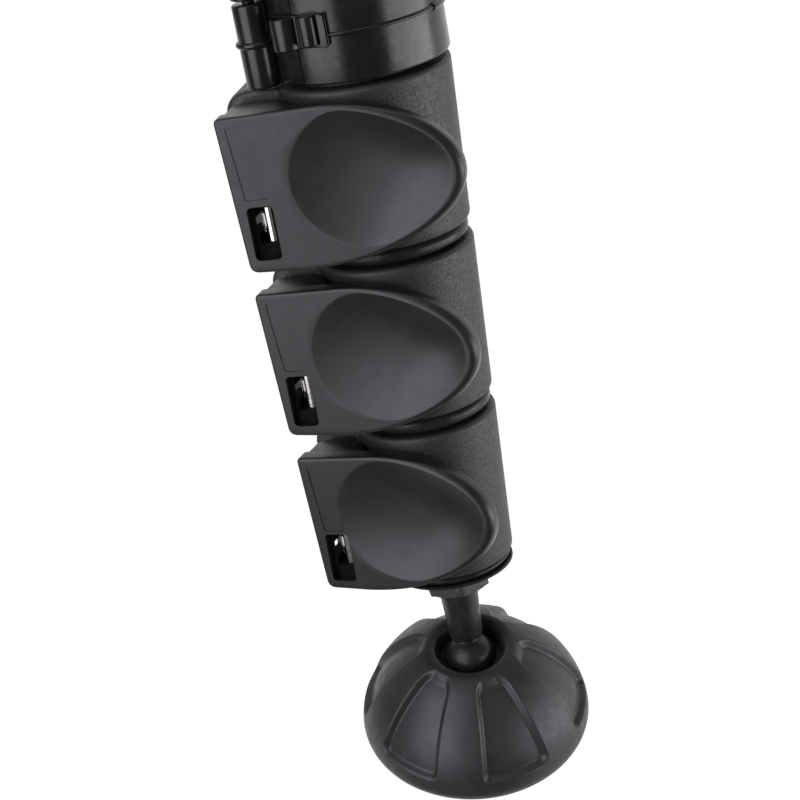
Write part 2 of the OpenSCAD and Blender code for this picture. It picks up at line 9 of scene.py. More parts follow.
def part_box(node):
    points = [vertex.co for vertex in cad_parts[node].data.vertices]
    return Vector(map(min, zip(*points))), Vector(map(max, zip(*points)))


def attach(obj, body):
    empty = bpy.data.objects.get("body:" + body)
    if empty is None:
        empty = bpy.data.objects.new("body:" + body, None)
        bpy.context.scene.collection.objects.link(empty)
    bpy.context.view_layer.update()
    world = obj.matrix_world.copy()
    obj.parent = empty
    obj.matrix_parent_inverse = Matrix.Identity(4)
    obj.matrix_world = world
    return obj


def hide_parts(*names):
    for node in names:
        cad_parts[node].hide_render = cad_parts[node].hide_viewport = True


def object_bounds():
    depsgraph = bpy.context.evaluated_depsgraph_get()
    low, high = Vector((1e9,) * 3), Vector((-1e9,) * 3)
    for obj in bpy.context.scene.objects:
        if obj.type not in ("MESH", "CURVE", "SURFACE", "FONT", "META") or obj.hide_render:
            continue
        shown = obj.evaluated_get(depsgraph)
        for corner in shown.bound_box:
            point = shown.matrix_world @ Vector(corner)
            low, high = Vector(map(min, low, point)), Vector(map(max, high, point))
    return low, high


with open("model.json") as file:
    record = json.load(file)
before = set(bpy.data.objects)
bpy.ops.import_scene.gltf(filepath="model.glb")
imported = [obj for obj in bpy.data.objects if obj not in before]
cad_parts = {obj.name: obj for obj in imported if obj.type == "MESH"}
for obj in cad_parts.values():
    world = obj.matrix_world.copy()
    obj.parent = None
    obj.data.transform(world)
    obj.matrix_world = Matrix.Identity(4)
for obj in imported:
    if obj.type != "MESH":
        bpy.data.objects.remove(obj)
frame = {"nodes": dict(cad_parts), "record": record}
cad_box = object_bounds()

# Leg tubes: four drawn aluminium tubes, one inside the other, anodised satin black.
# They are plain pipes cut to length, so the frame's own solids show, with fine draw lines.

MM = 0.001
leg_tubes = ("upper_tube", "tube_2", "tube_3", "tube_4")
# most of a noise lies between these two values
noise_low, noise_high = 0.35, 0.65


def finish(name, colour, rough, specular, metal=0.0, tint=(1, 1, 1)):
    """Material with one plain shader, for the functions below to work on."""
    material = bpy.data.materials.new(name)
    material.use_nodes = True
    shader = material.node_tree.nodes["Principled BSDF"]
    shader.inputs["Base Color"].default_value = (*colour, 1)
    shader.inputs["Roughness"].default_value = rough
    shader.inputs["Specular IOR Level"].default_value = specular
    shader.inputs["Specular Tint"].default_value = (*tint, 1)
    shader.inputs["Metallic"].default_value = metal
    return material


def lumps(material, size, detail=2.0, stretch=(1, 1, 1)):
    """Noise whose lumps measure about size millimetres, drawn out along the axes by stretch."""
    tree = material.node_tree
    place = tree.nodes.new("ShaderNodeTexCoord")
    scale = tree.nodes.new("ShaderNodeMapping")
    scale.inputs["Scale"].default_value = [1 / (size * MM * s) for s in stretch]
    noise = tree.nodes.new("ShaderNodeTexNoise")
    noise.inputs["Scale"].default_value = 1
    noise.inputs["Detail"].default_value = detail
    tree.links.new(place.outputs["Object"], scale.inputs["Vector"])
    tree.links.new(scale.outputs["Vector"], noise.inputs["Vector"])
    return noise.outputs["Fac"]


def shades(material, field, dark, light, low=noise_low, high=noise_high):
    """Colours the surface from dark to light over a field."""
    tree = material.node_tree
    ramp = tree.nodes.new("ShaderNodeValToRGB")
    ramp.color_ramp.elements[0].position = low
    ramp.color_ramp.elements[0].color = (*dark, 1)
    ramp.color_ramp.elements[1].position = high
    ramp.color_ramp.elements[1].color = (*light, 1)
    tree.links.new(field, ramp.inputs["Fac"])
    tree.links.new(ramp.outputs["Color"], tree.nodes["Principled BSDF"].inputs["Base Color"])


def dullness(material, field, smooth, dull):
    """Varies the roughness from smooth to dull over a field."""
    tree = material.node_tree
    spread = tree.nodes.new("ShaderNodeMapRange")
    spread.inputs["From Min"].default_value = noise_low
    spread.inputs["From Max"].default_value = noise_high
    spread.inputs["To Min"].default_value = smooth
    spread.inputs["To Max"].default_value = dull
    tree.links.new(field, spread.inputs["Value"])
    tree.links.new(spread.outputs["Result"], tree.nodes["Principled BSDF"].inputs["Roughness"])


def relief(material, field, height):
    """Raises the surface by up to height millimetres over a field, on top of earlier relief."""
    tree = material.node_tree
    normal = tree.nodes["Principled BSDF"].inputs["Normal"]
    bump = tree.nodes.new("ShaderNodeBump")
    bump.inputs["Distance"].default_value = height * MM
    tree.links.new(field, bump.inputs["Height"])
    if normal.is_linked:
        tree.links.new(normal.links[0].from_socket, bump.inputs["Normal"])
    tree.links.new(bump.outputs["Normal"], normal)


def coat(material, *nodes):
    """Puts a material on solids of the frame."""
    for node in nodes:
        for place in frame["nodes"][node].material_slots:
            place.material = material


def span(node):
    """Lowest and highest corner of a node in millimetres."""
    low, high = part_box(node)
    return low / MM, high / MM


anodised = finish("black_anodised", (0.02, 0.02, 0.021), 0.34, 0.35)
shades(anodised, lumps(anodised, 14), (0.016, 0.016, 0.017), (0.025, 0.025, 0.026))
dullness(anodised, lumps(anodised, 0.5, 3, (1, 1, 60)), 0.28, 0.42)
relief(anodised, lumps(anodised, 0.25, 2, (1, 1, 80)), 0.006)
coat(anodised, *leg_tubes)

# Tube guides and clamp sleeves: turned and split bushes of grey nylon inside the joints.
# They are hidden when the leg is closed, and the frame's solids carry the finish.

nylon = finish("grey_nylon", (0.06, 0.06, 0.062), 0.5, 0.3)
shades(nylon, lumps(nylon, 6), (0.05, 0.05, 0.052), (0.07, 0.07, 0.072))
relief(nylon, lumps(nylon, 0.3), 0.01)
coat(nylon, "tube_2_guide", "tube_3_guide", "tube_4_guide")
coat(nylon, "lock_1_sleeve", "lock_2_sleeve", "lock_3_sleeve")

# Top cap: a black-painted die casting pressed into the upper tube, with a neck under the platform.
# A zinc-plated socket bolt inside it draws the platform down.

casting = finish("black_casting", (0.02, 0.02, 0.02), 0.5, 0.3)
shades(casting, lumps(casting, 9), (0.015, 0.015, 0.015), (0.027, 0.026, 0.026))
dullness(casting, lumps(casting, 2.5), 0.42, 0.58)
relief(casting, lumps(casting, 0.6, 3), 0.03)
coat(casting, "top_cap")

zinc = finish("zinc_plated_steel", (0.62, 0.6, 0.57), 0.28, 0.5, 1.0)
shades(zinc, lumps(zinc, 3), (0.5, 0.48, 0.46), (0.72, 0.7, 0.67))
dullness(zinc, lumps(zinc, 0.7, 3), 0.2, 0.42)
relief(zinc, lumps(zinc, 0.35, 2), 0.008)
coat(zinc, "cap_bolt", "platform_grub_screws")

# Camera platform: a turned and anodised aluminium disc on the cap, with a ribbed rubber pad let
# into its top and three set screws from below.

platform_finish = finish("turned_black_aluminium", (0.02, 0.02, 0.021), 0.36, 0.35)
shades(platform_finish, lumps(platform_finish, 10), (0.016, 0.016, 0.017), (0.026, 0.026, 0.027))
dullness(platform_finish, lumps(platform_finish, 0.4, 2, (40, 40, 1)), 0.3, 0.44)
relief(platform_finish, lumps(platform_finish, 0.3, 2, (40, 40, 1)), 0.008)
coat(platform_finish, "platform")

# body that each node belongs to
home = {n: b for b, members in frame["record"]["behaviour"]["bodies"].items() for n in members}


def loft(rings, closed=False):
    """Skin over rings of points. The two ends are capped, or the last ring joins the first."""
    count = len(rings[0])
    points = [p for ring in rings for p in ring]
    faces = []
    for k in range(len(rings) if closed else len(rings) - 1):
        a, b = k * count, (k + 1) % len(rings) * count
        faces += [(a + j, a + (j + 1) % count, b + (j + 1) % count, b + j) for j in range(count)]
    if not closed:
        faces += [tuple(range(count)), tuple(range(len(points) - count, len(points)))]
    return points, faces


def turned(outline, steps=96, start=0.0, sweep=360.0):
    """A closed outline of (radius, height) pairs turned about the leg's axis."""
    whole = sweep == 360
    angles = [math.radians(start + sweep * k / steps) for k in range(steps if whole else steps + 1)]
    rings = [[(r * math.cos(a), r * math.sin(a), z) for r, z in outline] for a in angles]
    return loft(rings, whole)


def eased(corners, steps=5):
    """Closed outline through (x, y, rounding) corners, with each corner rounded."""
    points = []
    for k, (x, y, rounding) in enumerate(corners):
        here = Vector((x, y))
        before = Vector(corners[k - 1][:2]) - here
        after = Vector(corners[(k + 1) % len(corners)][:2]) - here
        if rounding == 0:
            points.append((x, y))
            continue
        a = here + before.normalized() * min(rounding, before.length / 2)
        b = here + after.normalized() * min(rounding, after.length / 2)
        for j in range(steps + 1):
            t = j / steps
            p = a * (1 - t) ** 2 + here * 2 * t * (1 - t) + b * t ** 2
            points.append((p.x, p.y))
    return points


def solid(name, shape, place=Matrix.Identity(4), weld=0.002, sliver=0.0001):
    """Object of a closed shape in millimetres, with doubled points merged and faces turned out."""
    mesh = bpy.data.meshes.new(name)
    mesh.from_pydata([place @ Vector(p) for p in shape[0]], [], shape[1])
    work = bmesh.new()
    work.from_mesh(mesh)
    bmesh.ops.remove_doubles(work, verts=work.verts, dist=weld)
    bmesh.ops.dissolve_degenerate(work, edges=work.edges, dist=sliver)
    loose = [e for e in work.edges if not e.link_faces]
    bmesh.ops.delete(work, geom=loose, context="EDGES")
    bmesh.ops.recalc_face_normals(work, faces=work.faces)
    work.to_mesh(mesh)
    work.free()
    piece = bpy.data.objects.new(name, mesh)
    bpy.context.scene.collection.objects.link(piece)
    return piece


def dress(piece, material, slot, *nodes, crease=40):
    """Coats a finished piece and sets it, in metres, in the place of nodes of the frame."""
    piece.data.transform(Matrix.Scale(MM, 4))
    piece.data.materials.clear()
    piece.data.materials.append(material)
    piece.data.shade_smooth()
    piece.data.set_sharp_from_angle(angle=math.radians(crease))
    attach(piece, home[nodes[0]])
    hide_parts(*nodes)
    return piece


pad_low, pad_high = span("platform_pad")
pad_inner, pad_outer = 9.5, pad_high.x
pad_rib, pad_groove, pad_groove_deep = 1.6, 0.7, 0.35
pad_outline = [(pad_inner, pad_low.z), (pad_outer, pad_low.z)]
rib_end, groove_z = pad_outer, pad_high.z - pad_groove_deep
while rib_end - pad_rib > pad_inner:
    pad_outline += [(rib_end, pad_high.z), (rib_end - pad_rib, pad_high.z)]
    pad_outline += [(rib_end - pad_rib, groove_z), (rib_end - pad_rib - pad_groove, groove_z)]
    rib_end -= pad_rib + pad_groove
pad_outline.append((pad_inner, groove_z))
pad_rubber = finish("pad_rubber", (0.025, 0.025, 0.026), 0.7, 0.25)
shades(pad_rubber, lumps(pad_rubber, 5), (0.02, 0.02, 0.021), (0.032, 0.032, 0.033))
relief(pad_rubber, lumps(pad_rubber, 0.3), 0.02)
dress(solid("platform_pad_ribbed", turned(pad_outline)), pad_rubber, "pad_rubber", "platform_pad")

# Camera stud: a steel screw with the 3/8 inch camera thread, a collar in the platform and a
# driver slot across its end. The thread is cut, with its start chamfered.


def carve(piece, operation, *tools):
    """Cuts tools from a piece, or joins them to it."""
    for tool in tools:
        step = piece.modifiers.new("carve", "BOOLEAN")
        step.operation = operation
        step.solver = "MANIFOLD"
        step.object = tool
        graph = bpy.context.evaluated_depsgraph_get()
        done = bpy.data.meshes.new_from_object(piece.evaluated_get(graph))
        piece.modifiers.clear()
        piece.data = done
        bpy.data.objects.remove(tool)
    return piece


def around(count, radius, z):
    """Ring of points whose radius follows a function of the angle in radians."""
    angles = [2 * math.pi * k / count for k in range(count)]
    return [(radius(a) * math.cos(a), radius(a) * math.sin(a), z) for a in angles]


def hoop(count, radius, z):
    """Ring of points of one radius."""
    return around(count, lambda a: radius, z)


def block(low, high):
    """Rectangular block between two corners."""
    ends = ((low[0], low[1]), (high[0], low[1]), (high[0], high[1]), (low[0], high[1]))
    return loft([[(x, y, z) for x, y in ends] for z in (low[2], high[2])])


stud_low, stud_high = span("camera_stud")
stud_r, stud_foot_r, stud_collar_r, stud_collar_h = 9.525 / 2, 3.175, stud_high.x, 3
thread_pitch, thread_deep, thread_start = 25.4 / 16, 0.9, 1.1
stud_slot_w, stud_slot_deep = 1.6, 1.5
# how far a cutter stands out of what it cuts
cut_past = 2
stud_columns, stud_rows = 72, 64


def stud_thread(z):
    """Radius of the stud at a height, as a function of the angle."""
    top = stud_r - max(0, z - stud_high.z + thread_start)

    def radius(a):
        turn = (z / thread_pitch - a / (2 * math.pi)) % 1
        return min(top, stud_r - thread_deep * abs(2 * turn - 1))

    return radius


stud_rings = [hoop(stud_columns, r, z) for r, z in (
    (0, stud_low.z), (stud_foot_r, stud_low.z), (stud_foot_r, -stud_collar_h),
    (stud_collar_r, -stud_collar_h), (stud_collar_r, 0), (stud_r - thread_deep, 0))]
thread_levels = [stud_high.z * k / stud_rows for k in range(1, stud_rows + 1)]
stud_rings += [around(stud_columns, stud_thread(z), z) for z in thread_levels]
stud_rings.append(hoop(stud_columns, 0, stud_high.z))
stud = solid("camera_stud_threaded", loft(stud_rings))
carve(stud, "DIFFERENCE", solid("stud_slot", block(
    (-stud_slot_w / 2, -2 * stud_r, stud_high.z - stud_slot_deep),
    (stud_slot_w / 2, 2 * stud_r, stud_high.z + cut_past))))
dress(stud, zinc, "zinc_steel", "camera_stud")

# Grip: a sleeve of closed-cell foam slipped over the upper tube, held between two moulded rings.
# The foam is soft to the thumb, a little uneven, and bulges slightly between the rings.

ring_plastic = finish("ring_plastic", (0.016, 0.016, 0.0165), 0.3, 0.2)
shades(ring_plastic, lumps(ring_plastic, 8), (0.012, 0.012, 0.0125), (0.02, 0.02, 0.021))
dullness(ring_plastic, lumps(ring_plastic, 1.5), 0.24, 0.36)
relief(ring_plastic, lumps(ring_plastic, 0.4), 0.006)
coat(ring_plastic, "grip_rings")

foam_low, foam_high = span("foam_grip")
foam_inner, foam_bulge, foam_round = span("upper_tube")[1].x, 0.21, 1.6
foam_columns, foam_rows = 96, 60
# slow unevenness: its height, its waves round the grip and its turn along the grip in radians
foam_waves = ((0.06, 3, 9), (0.05, 2, 31))


def foam_radius(z, a):
    """The foam's radius, with its bulge, its rounded ends and a slow unevenness."""
    end = min(foam_high.z - z, z - foam_low.z)
    turn_in = max(0, foam_round - end)
    corner = foam_round - math.sqrt(max(0, foam_round ** 2 - turn_in ** 2))
    along = (z - foam_low.z) / (foam_high.z - foam_low.z)
    uneven = sum(height * math.sin(waves * a + turn * along) for height, waves, turn in foam_waves)
    return foam_high.x + foam_bulge * math.sin(math.pi * along) ** 0.5 - corner + uneven


foam_levels = [foam_low.z + (foam_high.z - foam_low.z) * (1 - math.cos(math.pi * k / foam_rows)) / 2
               for k in range(foam_rows + 1)]
foam_rings = [around(foam_columns, lambda a, z=z: foam_radius(z, a), z) for z in foam_levels]
foam_rings += [hoop(foam_columns, foam_inner, z) for z in (foam_high.z, foam_low.z)]
foam = finish("grip_foam", (0.022, 0.022, 0.023), 0.85, 0.15)
shades(foam, lumps(foam, 1.2, 4), (0.014, 0.014, 0.015), (0.034, 0.034, 0.035))
relief(foam, lumps(foam, 0.55, 3), 0.12)
relief(foam, lumps(foam, 2.5), 0.08)
grip = dress(solid("foam_grip_sleeve", loft(foam_rings, True)), foam, "grip_foam", "foam_grip")

# Clip collar: two glossy moulded half shells round the upper tube, beaded above and below.
# The rear one carries an upright barrel with a blackened steel pin, and a snap hook that laps
# over the seam.

collar_plastic = finish("collar_plastic", (0.006, 0.006, 0.0063), 0.22, 0.4)
shades(collar_plastic, lumps(collar_plastic, 7), (0.0045, 0.0045, 0.0048), (0.0075, 0.0075, 0.0078))
dullness(collar_plastic, lumps(collar_plastic, 1.8), 0.2, 0.28)
relief(collar_plastic, lumps(collar_plastic, 5), 0.02)

blackened = finish("blackened_steel", (0.02, 0.02, 0.021), 0.38, 0.4, 0.35)
shades(blackened, lumps(blackened, 4), (0.014, 0.014, 0.015), (0.027, 0.0265, 0.0265))
dullness(blackened, lumps(blackened, 0.8, 3), 0.3, 0.46)
relief(blackened, lumps(blackened, 0.5, 2, (30, 30, 1)), 0.006)
coat(blackened, "collar_pin")

collar_low, collar_high = span("collar_front_shell")
# the beads are thin over the front and step out at an angle of bead_step degrees
bead_out, thin_bead, bead_step, bead_in = 1.0, 0.55, -12, 11.8
collar_r, collar_fit, collar_edge = collar_high.x - bead_out, 0.01, 0.5
collar_bore = span("upper_tube")[1].x + collar_fit
seam_left, seam_right, seam_gap = -109, 70, 0.8
bead_levels = (collar_low.z + bead_in, collar_high.z - bead_in)


def quarter(steps):
    """Angles from 0 to 90 degrees in even steps, in radians."""
    return [math.pi / 2 * k / steps for k in range(steps + 1)]


def beaded(radius, inner, low, high, bead, levels):
    """Outline of a wall with half-round beads at some levels."""
    points = [(inner, low)]
    points += [(radius - collar_edge * (1 - math.sin(t)), low + collar_edge * (1 - math.cos(t)))
               for t in quarter(4)]
    for level in levels:
        points += [(radius + bead * math.cos(t), level + bead * math.sin(t))
                   for t in (math.pi * (k / 10 - 0.5) for k in range(11))]
    points += [(radius - collar_edge * (1 - math.cos(t)), high - collar_edge * (1 - math.sin(t)))
               for t in quarter(4)]
    return points + [(inner, high)]


thin_outline, shell_outline = (
    beaded(collar_r, collar_bore, collar_low.z, collar_high.z, bead, bead_levels)
    for bead in (thin_bead, bead_out))
front_start, front_end = seam_left + seam_gap, seam_right - seam_gap
front_rings, front_steps = [], 160
for k in range(front_steps + 1):
    at = front_start + (front_end - front_start) * k / front_steps
    a = math.radians(at)
    outline = thin_outline if at < bead_step else shell_outline
    front_rings.append([(r * math.cos(a), r * math.sin(a), z) for r, z in outline])
front_shell = solid("collar_front", loft(front_rings))
dress(front_shell, collar_plastic, "collar_plastic", "collar_front_shell")


def slab(outline, low, high, rounding, steps=4):
    """An outline in the XY plane, drawn up from low to high, with its edges rounded."""
    points = [Vector(p) for p in outline]
    count = len(points)
    area = sum(points[k - 1].x * points[k].y - points[k].x * points[k - 1].y for k in range(count))
    inward = []
    for k in range(count):
        along = (points[(k + 1) % count] - points[k - 1]).normalized()
        inward.append(Vector((-along.y, along.x)) * math.copysign(1, area))

    def ring(inset, z):
        return [(*(p + n * inset), z) for p, n in zip(points, inward)]

    rings = [ring(rounding * (1 - math.sin(t)), low + rounding * (1 - math.cos(t)))
             for t in quarter(steps)]
    rings += [ring(rounding * (1 - math.cos(t)), high - rounding * (1 - math.sin(t)))
              for t in quarter(steps)]
    return loft(rings)


def bent(inner, outer, start, end, rounding, count=14):
    """Outline of a piece of a ring between two angles in degrees, with rounded corners."""
    angles = [math.radians(start + (end - start) * k / count) for k in range(count + 1)]
    corners = [(outer * math.cos(a), outer * math.sin(a), 0) for a in angles]
    corners += [(inner * math.cos(a), inner * math.sin(a), 0) for a in reversed(angles)]
    for k in (0, count, count + 1, 2 * count + 1):
        corners[k] = (*corners[k][:2], rounding)
    return eased(corners)


barrel_angle, barrel_d, barrel_out = math.radians(-139), 8.4, 2.9
barrel_bead, barrel_bead_in, pin_r, root_deep, root_in = 0.8, 10.7, 1.51, 1, 0.2
barrel_x = (collar_r + barrel_out) * math.cos(barrel_angle)
barrel_y = (collar_r + barrel_out) * math.sin(barrel_angle)
barrel_place = Matrix.Translation((barrel_x, barrel_y, 0))
# knuckles of the barrel: lower end, upper end and height of the bead
knuckle_h, knuckle_gap = 20.35, 1
knuckle_split = collar_low.z + knuckle_h
knuckles = ((collar_low.z, knuckle_split, collar_low.z + barrel_bead_in),
            (knuckle_split + knuckle_gap, collar_high.z, collar_high.z - barrel_bead_in))
# strap of the hook over the seam, with its end lip: start, end, inner radius and outer radius
sunk_r, over_r = collar_r - 1, collar_r + 0.3
strap_steps = ((-124, -106, sunk_r, 23.2), (-112, -86, over_r, 23.2), (-88.6, -86.2, over_r, 24.6))
strap_low, strap_high, strap_inset = collar_low.z + 9.2, collar_low.z + 17.2, 0.05
strap_corner, strap_edge, rib_edge = 0.5, 0.3, 0.5
# upright ribs on the strap: angle, distance from the axis, radius, lower end and upper end
ribs = ((-115, 22.6, 3.6, 9.0, 16.9), (-97.5, 22.9, 2.6, 9.9, 17.2))
rear_shell = turned(shell_outline, steps=128, start=seam_right, sweep=360 + seam_left - seam_right)
rear_shell = solid("collar_rear", rear_shell)
for low, high, level in knuckles:
    knuckle = beaded(barrel_d / 2, pin_r, low, high, barrel_bead, (level,))
    carve(rear_shell, "UNION", solid("knuckle", turned(knuckle, steps=48), barrel_place))
    root = block((-barrel_d / 2 - root_deep, -barrel_d / 4, low + root_in),
                 (-pin_r - root_in, barrel_d / 4, high - root_in))
    turn = barrel_place @ Matrix.Rotation(barrel_angle, 4, "Z")
    carve(rear_shell, "UNION", solid("knuckle_root", root, turn))
for k, (start, end, inner, outer) in enumerate(strap_steps):
    strap, inset = bent(inner, outer, start, end, strap_corner), strap_inset * k
    strap = slab(strap, strap_low + inset, strap_high - inset, strap_edge)
    carve(rear_shell, "UNION", solid("strap", strap))
for angle, out, rib_r, low, high in ribs:
    a, low, high = math.radians(angle), collar_low.z + low, collar_low.z + high
    rib = eased([(0, low, 0), (rib_r, low, rib_edge), (rib_r, high, rib_edge), (0, high, 0)])
    place = Matrix.Translation((out * math.cos(a), out * math.sin(a), 0))
    rib_piece = solid("rib", turned(rib, steps=48), place)
    low, high = low - cut_past, high + cut_past
    tube_room = turned([(0, low), (over_r, low), (over_r, high), (0, high)], steps=120)
    carve(rib_piece, "DIFFERENCE", solid("tube_room", tube_room))
    carve(rear_shell, "UNION", rib_piece)
dress(rear_shell, collar_plastic, "collar_plastic", "collar_rear_shell")

# Clamp bodies: three moulded barrels, each narrower than the one above, with an ear at the left
# that a saw cut lets close. The faces have the coarse grain of a spark-eroded mould.

lock_plastic = finish("grained_lock_plastic", (0.02, 0.018, 0.0185), 0.48, 0.46)
shades(lock_plastic, lumps(lock_plastic, 0.45, 2), (0.013, 0.0117, 0.012), (0.028, 0.025, 0.026),
       low=0.3, high=0.7)
dullness(lock_plastic, lumps(lock_plastic, 0.8, 2), 0.42, 0.58)
relief(lock_plastic, lumps(lock_plastic, 0.5, 3), 0.13)
relief(lock_plastic, lumps(lock_plastic, 6), 0.05)

# the sections are turned against each other, as they were left
lock_turns = {1: math.radians(5), 2: math.radians(-1), 3: math.radians(-5.5)}
rim_round, ear_round, ear_room = 1.4, 6.0, 0.5
tube_seat, seat_fit, sleeve_wall = 19.0, 0.01, 1.2
slit_w, slit_stop = 1.5, 1.0
bolt_hole_r = 2.2
# powers that set how tight the ear's corners are and how tightly it blends into the barrel
ear_corner, ear_blend = 16, 44


def clamp_span(number, part):
    """Lowest and highest corner of a clamp's node in millimetres, along the clamp's own axes."""
    node = frame["nodes"][f"lock_{number}_{part}"]
    place = Matrix.Rotation(-lock_turns[number], 4, "Z") @ node.matrix_world
    points = [place @ v.co / MM for v in node.data.vertices]
    return (Vector(min(p[k] for p in points) for k in range(3)),
            Vector(max(p[k] for p in points) for k in range(3)))


def clamp_middle(number, part):
    """Middle of a clamp's node in millimetres, along the clamp's own axes."""
    low, high = clamp_span(number, part)
    return (low + high) / 2


def clamped(number, piece):
    """Turns a piece made along a clamp's own axes into the clamp's place."""
    piece.data.transform(Matrix.Rotation(lock_turns[number], 4, "Z"))
    return piece


def laid_back(x, y, z):
    """Place at which what stands along Z lies towards the back."""
    return Matrix.Translation((x, y, z)) @ Matrix.Rotation(-math.pi / 2, 4, "X")


def lock_body(number):
    """Clamp body worked out from the frame: a tapering barrel blended into its ear."""
    low, high = clamp_span(number, "body")
    upper_r, lower_r = (span(tube)[1].x for tube in leg_tubes[number - 1:number + 1])
    top_r = high.x
    end_r = top_r - (upper_r - lower_r)
    lever_low, pin = clamp_span(number, "lever")[0], clamp_middle(number, "pin")
    ear_front = pin.y + math.hypot(pin.x - lever_low.x, pin.y - lever_low.y) + ear_room
    ear_back = clamp_span(number, "washer")[0].y
    height = high.z - low.z

    def outline(depth, inset):
        """Outer radius at a depth below the top, pulled in by inset, as a function of the angle."""
        barrel = top_r + (end_r - top_r) * depth / height
        from_end = min(depth, height - depth, ear_round)
        rounded = ear_round - math.sqrt(ear_round ** 2 - (ear_round - from_end) ** 2)
        reach = -low.x - rounded

        def radius(a):
            x, y = math.cos(a), math.sin(a)
            if x >= 0:
                return barrel - inset
            side = ear_back if y > 0 else -ear_front
            ear = ((-x / reach) ** ear_corner + (abs(y) / side) ** ear_corner) ** (-1 / ear_corner)
            return (barrel ** ear_blend + ear ** ear_blend) ** (1 / ear_blend) - inset

        return radius

    count, rows, turns = 360, 40, 6
    rim = [(rim_round - rim_round * math.cos(t), rim_round - rim_round * math.sin(t))
           for t in quarter(turns)]
    middle = [rim_round + (height - 2 * rim_round) * k / rows for k in range(1, rows)]
    profile = rim + [(d, 0) for d in middle] + [(height - d, i) for d, i in reversed(rim)]
    rings = [around(count, outline(d, i), high.z - d) for d, i in profile]
    bore = ((sleeve_wall + lower_r, low.z), (sleeve_wall + lower_r, high.z - tube_seat),
            (upper_r + seat_fit, high.z - tube_seat), (upper_r + seat_fit, high.z))
    rings += [hoop(count, r, z) for r, z in bore]
    body = solid(f"lock_{number}_clamp_body", loft(rings, True))
    bolt, hole_len = clamp_middle(number, "bolt"), ear_back - ear_front + 2 * cut_past
    hole = turned([(0, 0), (bolt_hole_r, 0), (bolt_hole_r, hole_len), (0, hole_len)], steps=40)
    lay = laid_back(bolt.x, ear_front - cut_past, bolt.z)
    slit = block((low.x - cut_past, -slit_w / 2, low.z - cut_past),
                 (0, slit_w / 2, high.z - tube_seat - slit_stop))
    carve(body, "DIFFERENCE", solid("slit", slit), solid("bolt_hole", hole, lay))
    return clamped(number, body)


for number in lock_turns:
    dress(lock_body(number), lock_plastic, "lock_plastic", f"lock_{number}_body")

# End rings: smooth black rings pressed under the clamp bodies, which take the knock when the leg
# is pushed shut. They are moulded in the same plastic as the grip's rings.

coat(ring_plastic, *(f"lock_{number}_end_ring" for number in lock_turns))

# Clamp bolts, pins and nuts: a hooked bolt of zinc-plated steel hangs on each lever's polished
# pin, runs through the ear and ends in a zinc-plated washer and nut at the back.

coat(zinc, *(f"lock_{number}_washer" for number in lock_turns))
polished = finish("polished_steel", (0.6, 0.57, 0.56), 0.15, 0.5, 1.0)
shades(polished, lumps(polished, 4), (0.55, 0.52, 0.51), (0.65, 0.62, 0.61))
dullness(polished, lumps(polished, 1.5), 0.12, 0.18)
coat(polished, *(f"lock_{number}_pin" for number in lock_turns))

nut_columns, corner_fall = 120, 1.7


def hex_nut(flats, height, chamfer, bore, turn=0.0, neck=()):
    """Nut on z = 0 with its corners turned down at both ends, and a neck of (radius, z) points."""

    def outline(z):
        from_end = min(z, height - z)
        limit = flats / 2 + from_end * corner_fall if from_end < chamfer else flats

        def radius(a):
            part = (a - turn + math.pi / 6) % (math.pi / 3) - math.pi / 6
            return min(flats / 2 / math.cos(part), limit)

        return radius

    levels = [chamfer * k / 4 for k in range(5)]
    levels += [height - z for z in reversed(levels)]
    rings = [around(nut_columns, outline(z), z) for z in levels]
    rings += [hoop(nut_columns, r, z) for r, z in neck]
    top = neck[-1][1] if neck else height
    rings += [hoop(nut_columns, bore, z) for z in (top, 0)]
    return loft(rings, True)


hook_open, hook_close, hook_corner, hook_edge = 40, 172, 0.3, 0.25
shank_r, shank_in, shank_end, steel_fit = 2.0, 0.3, 0.6, 0.01
clamp_nut_flats, clamp_nut_chamfer = 7, 0.6
for number in lock_turns:
    low, high = clamp_span(number, "bolt")
    middle, pin = clamp_middle(number, "bolt"), clamp_middle(number, "pin")
    pin_hole = clamp_span(number, "pin")[1].x - pin.x + steel_fit
    hook = bent(pin_hole, (high.x - low.x) / 2, hook_open, hook_close, hook_corner)
    hook = [(pin.x + x, pin.y + y) for x, y in hook]
    bolt = solid(f"lock_{number}_hook_bolt", slab(hook, low.z, high.z, hook_edge))
    start = pin.y + pin_hole + shank_in
    run = high.y - start
    shank = eased([(0, 0, 0), (shank_r, 0, 0), (shank_r, run, shank_end), (0, run, 0)])
    shank = solid("shank", turned(shank, steps=40), laid_back(middle.x, start, middle.z))
    carve(bolt, "UNION", shank)
    dress(clamped(number, bolt), zinc, "zinc_steel", f"lock_{number}_bolt")
    nut_low, nut_high = clamp_span(number, "nut")
    nut = hex_nut(clamp_nut_flats, nut_high.y - nut_low.y, clamp_nut_chamfer, shank_r + steel_fit)
    nut = solid(f"lock_{number}_hex_nut", nut, laid_back(middle.x, nut_low.y, middle.z))
    dress(clamped(number, nut), zinc, "zinc_steel", f"lock_{number}_nut")

# Levers: moulded nylon plates with a satin face, a thumb dish that deepens towards the tip, a
# window over the pin, rough and painted near black inside for the shade deep in it, and a plain
# sunk panel above it. A cam heel behind each plate works the clamp.

lever_plastic = finish("satin_lever_plastic", (0.011, 0.011, 0.0125), 0.38, 0.46, tint=(0.94, 0.92, 1))
shades(lever_plastic, lumps(lever_plastic, 12), (0.0095, 0.0095, 0.011), (0.0125, 0.0125, 0.014))
dullness(lever_plastic, lumps(lever_plastic, 3), 0.33, 0.38)
relief(lever_plastic, lumps(lever_plastic, 0.22, 2), 0.008)
